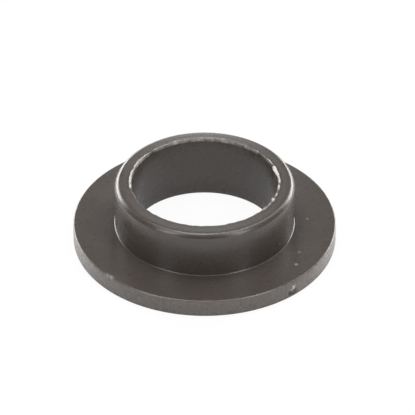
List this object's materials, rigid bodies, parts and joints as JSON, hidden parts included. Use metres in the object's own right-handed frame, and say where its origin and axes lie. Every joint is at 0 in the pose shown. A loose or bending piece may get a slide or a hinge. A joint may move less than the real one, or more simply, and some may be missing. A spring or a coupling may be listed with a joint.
{
  "type": "flanged sleeve bearing",
  "caption": "Plain flanged sleeve bearing, moulded in one piece, with a smooth running bore, a round flange and a rounded lead-in at the nose.",
  "frame": {"origin": "on the bore's axis, in the plane of the flange's underside", "axes": "+Z along the bore's axis, from the flange to the nose of the sleeve; -Y faces the picture's camera and +X is to its right"},
  "size_m": [0.0229, 0.0228, 0.0061],
  "materials": {
    "moulded_plastic": "dark warm grey moulded plastic, semi-gloss, with a soft sheen and light bruised edges"
  },
  "bodies": {
    "root": {"flanged_sleeve": "moulded_plastic"}
  },
  "joints": []
}
